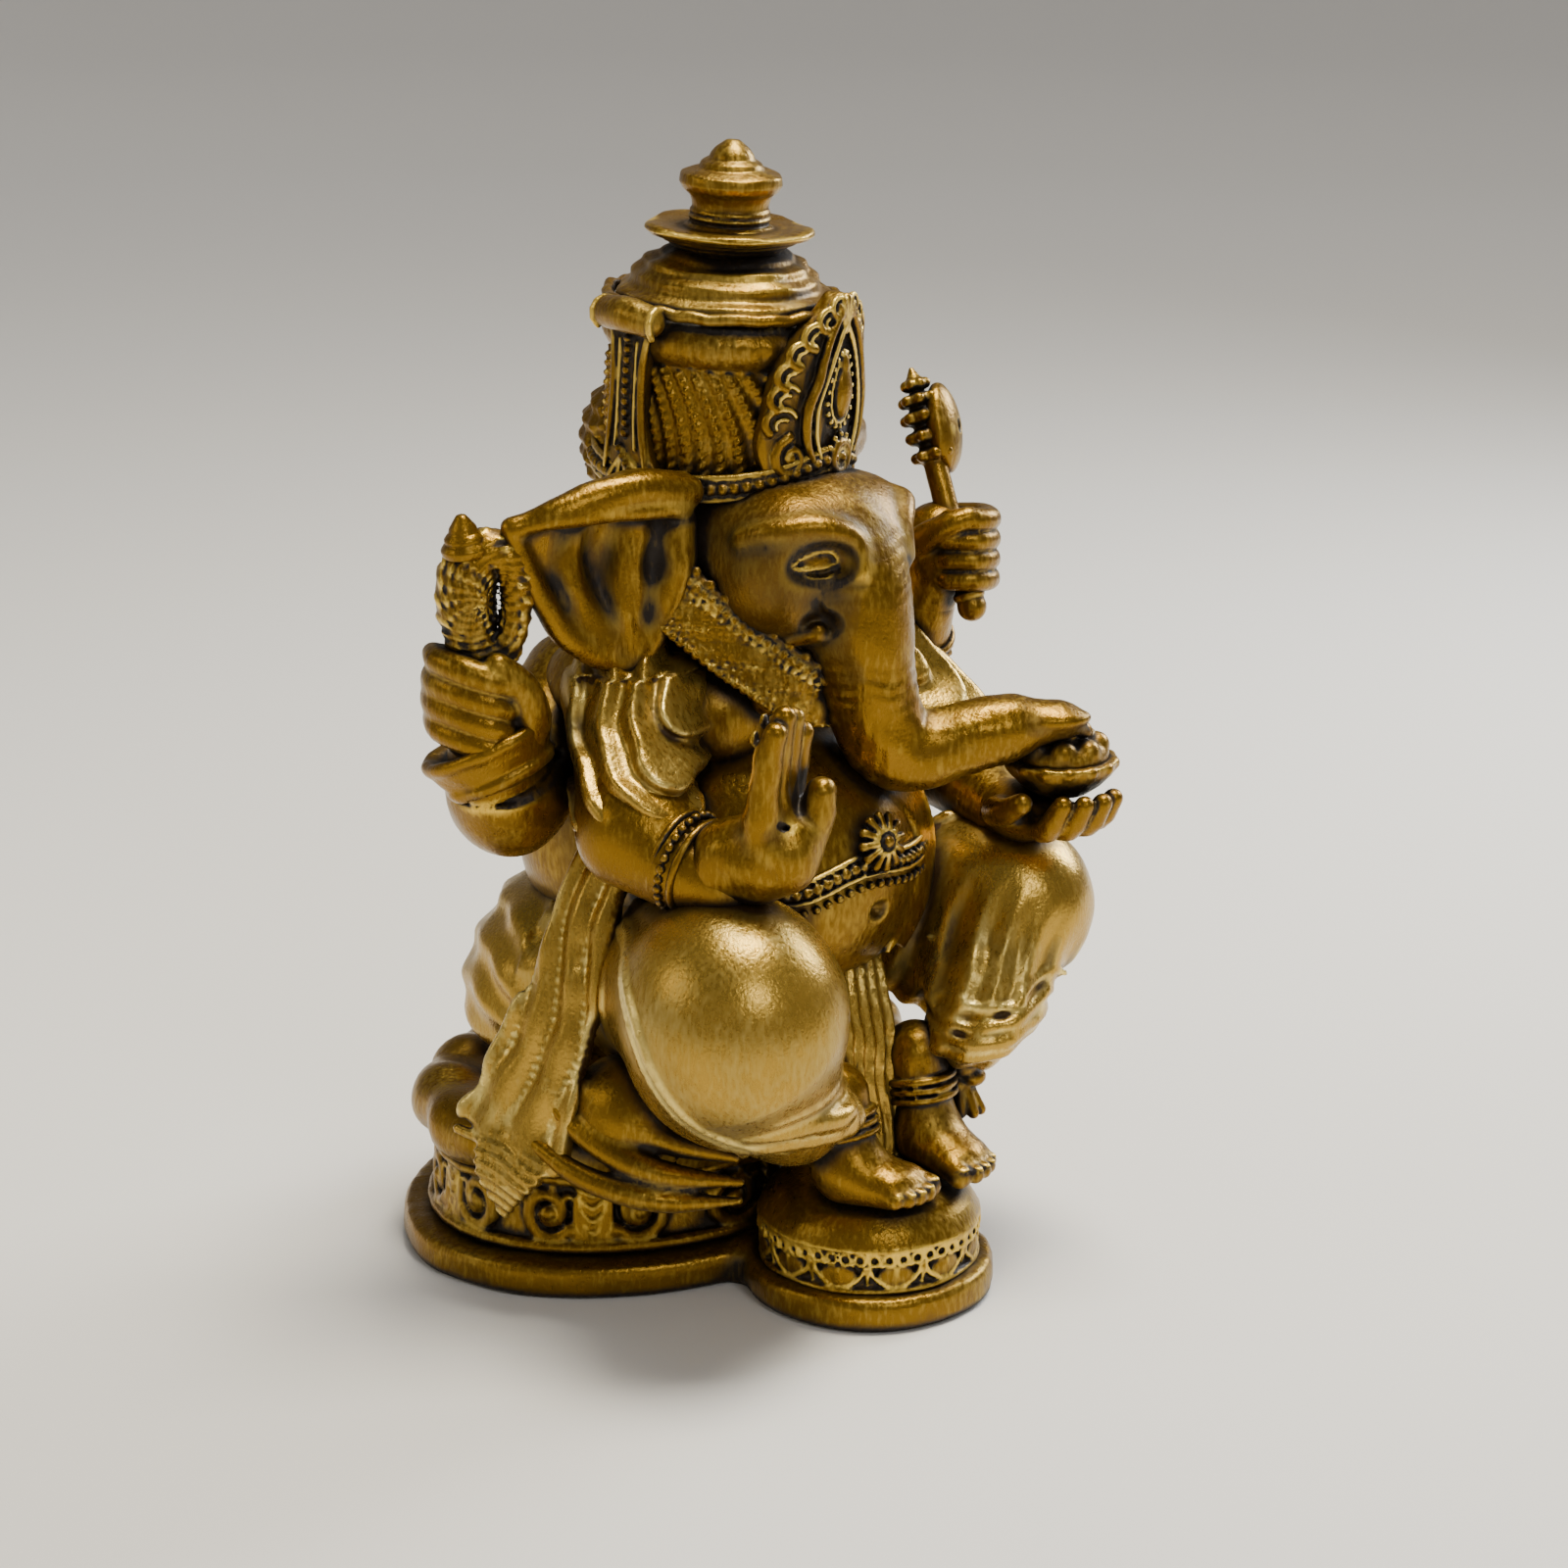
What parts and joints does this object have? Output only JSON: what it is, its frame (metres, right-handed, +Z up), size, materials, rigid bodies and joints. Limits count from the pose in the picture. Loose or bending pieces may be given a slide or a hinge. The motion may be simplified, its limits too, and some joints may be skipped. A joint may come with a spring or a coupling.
{
  "type": "seated deity statue",
  "caption": "Seated four-armed elephant-headed deity in antique gold, with a tall crown, flowing cloth, one hand raised, and feet on a round lotus footrest in front of an oval plinth.",
  "frame": {"origin": "on the underside that rests on the shelf, below the figure's spine", "axes": "+Z up, the figure faces -Y, its right hand is at -X"},
  "size_m": [0.1665, 0.1655, 0.2809],
  "materials": {
    "plinth_gold": "cast resin, antique gold metallic paint worn to dark brown in the hollows",
    "cloth_gold": "cast resin, satin champagne gold metallic paint",
    "skin_gold": "cast resin, brushed antique gold metallic paint with a brown wash",
    "trim_gold": "cast resin, dry-brushed bright gold over dark brown"
  },
  "bodies": {
    "root": {"plinth": "plinth_gold", "throne": "plinth_gold", "cushion": "plinth_gold", "footrest": "plinth_gold", "footrest_beads": "plinth_gold", "throne_scrolls": "plinth_gold", "hips": "cloth_gold", "right_leg": "cloth_gold", "left_leg": "cloth_gold", "right_hem": "cloth_gold", "left_hem": "cloth_gold", "right_shawl": "cloth_gold", "left_shawl": "cloth_gold", "side_sash": "cloth_gold", "front_pleats": "cloth_gold", "back": "skin_gold", "belly": "skin_gold", "chest": "skin_gold", "right_front_arm": "skin_gold", "left_front_arm": "skin_gold", "right_rear_arm": "skin_gold", "left_rear_arm": "skin_gold", "right_front_hand": "skin_gold", "left_front_hand": "skin_gold", "right_rear_hand": "skin_gold", "left_rear_hand": "skin_gold", "right_foot": "skin_gold", "left_foot": "skin_gold", "head": "skin_gold", "elephant_trunk": "skin_gold", "right_ear": "skin_gold", "left_ear": "skin_gold", "right_tusk": "skin_gold", "left_tusk": "skin_gold", "crown_cap": "trim_gold", "brow_band": "trim_gold", "crest_plate": "trim_gold", "right_crown_panel": "trim_gold", "left_crown_panel": "trim_gold", "crown_roof": "trim_gold", "crown_disc": "trim_gold", "crown_spire": "trim_gold", "hair_bun": "trim_gold", "girdle": "trim_gold", "girdle_flower": "trim_gold", "necklace": "trim_gold", "ankle_tassel": "trim_gold", "right_front_cuff": "trim_gold", "right_rear_cuff": "trim_gold", "left_rear_cuff": "trim_gold", "noose": "trim_gold", "noose_knot": "trim_gold", "axe_handle": "trim_gold", "axe_blade": "trim_gold", "bowl": "trim_gold", "sweets": "trim_gold"}
  },
  "joints": []
}
